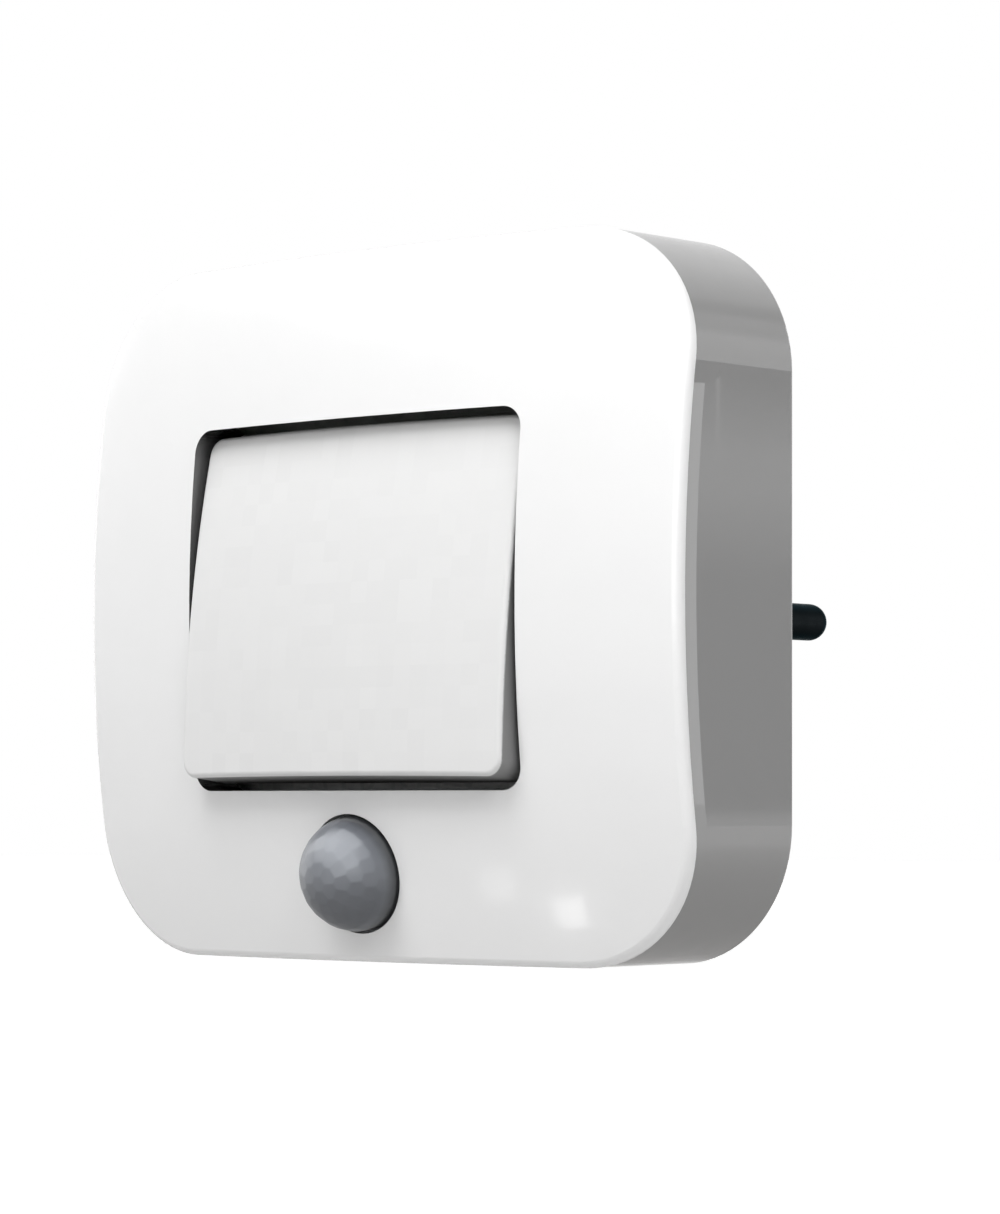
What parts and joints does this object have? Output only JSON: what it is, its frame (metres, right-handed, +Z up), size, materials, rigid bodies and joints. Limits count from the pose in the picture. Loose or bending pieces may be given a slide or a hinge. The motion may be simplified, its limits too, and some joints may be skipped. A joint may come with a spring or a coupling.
{
  "type": "plug in night light",
  "caption": "Plug-in night light with a rocker that is also its diffuser, a domed motion sensor lens below it, a pillow-shaped cover and two round pins on a recessed plug block.",
  "frame": {"origin": "centre of the plug block's end face, between the two pins", "axes": "+Y out of the plug along the pins, so the front faces -Y; +X to the right seen from the front; +Z up"},
  "size_m": [0.08, 0.0697, 0.0712],
  "materials": {
    "grey_shell": "glossy moulded, faint moulding grain",
    "white_cover": "glossy white",
    "frosted_white": "satin, translucent, fine prism grid inside",
    "grey_frame": "matt moulded",
    "lens_plastic": "smoked, faintly milky, moulded facets",
    "black_sleeve": "matt insulation",
    "pin_metal": "dark plated",
    "contact_brass": "bare, stamped",
    "contact_silver": "silver rivet",
    "clamp_plastic": "natural nylon",
    "switch_plastic": "black moulded",
    "board_green": "green solder mask",
    "board_white": "white solder mask",
    "screw_steel": "zinc plated",
    "spring_steel": "drawn wire",
    "film_yellow": "glossy box",
    "can_sleeve": "shrink sleeve",
    "epoxy_black": "moulded epoxy",
    "resistor_blue": "lacquered",
    "varistor_blue": "dipped lacquer",
    "emitter_phosphor": "phosphor in a white package",
    "sensor_clear": "tinted epoxy",
    "tray_white": "satin white reflector",
    "sensor_can": "nickel plated can",
    "sensor_filter": "dark filter",
    "spacer_plastic": "natural nylon"
  },
  "bodies": {
    "base": {"rear_housing": "grey_shell", "front_cover": "white_cover", "housing_screws": "screw_steel", "pin_left": "pin_metal", "pin_right": "pin_metal", "pin_sleeves": "black_sleeve", "pin_clamp": "clamp_plastic", "pin_clamp_screw": "screw_steel", "pin_terminals": "contact_brass", "main_board": "board_green", "main_board_screws": "screw_steel", "film_capacitor": "film_yellow", "electrolytic_capacitor": "can_sleeve", "bridge_rectifier": "epoxy_black", "fuse_resistor": "resistor_blue", "varistor": "varistor_blue", "controller_chip": "epoxy_black", "board_header": "switch_plastic", "light_board": "board_white", "light_board_screws": "screw_steel", "light_emitters": "emitter_phosphor", "light_sensor": "sensor_clear", "reflector_tray": "tray_white", "pir_lens": "lens_plastic", "lens_retainer": "clamp_plastic", "lens_retainer_screws": "screw_steel", "pir_spacer": "spacer_plastic", "pir_sensor": "sensor_can", "pir_filter": "sensor_filter", "switch_base": "switch_plastic", "pivot_terminal": "contact_brass", "end_terminals": "contact_silver"},
    "rocker": {"rocker_diffuser": "frosted_white", "rocker_carrier": "grey_frame", "plunger_spring": "spring_steel"},
    "plunger": {"plunger": "clamp_plastic"},
    "seesaw": {"seesaw_contact": "contact_silver"}
  },
  "joints": [
    {"name": "rocker_tilt", "type": "hinge", "parent": "base", "child": "rocker", "pos_m": [0, -0.0432, 0], "axis": [1, 0, 0], "range_deg": [0, 14]},
    {"name": "plunger_slide", "type": "slide", "parent": "rocker", "child": "plunger", "axis": [0, -0.9925, 0.1219], "range_m": [0, 0.0005], "stiffness_N_per_m": 100, "deforming": ["plunger_spring"]},
    {"name": "seesaw_tilt", "type": "hinge", "parent": "base", "child": "seesaw", "pos_m": [0.0175, -0.03875, 0], "axis": [1, 0, 0], "range_deg": [-14, 0]}
  ],
  "couplings": [
    {"joint": "seesaw_tilt", "follows": "rocker_tilt", "ratio": -1}
  ]
}
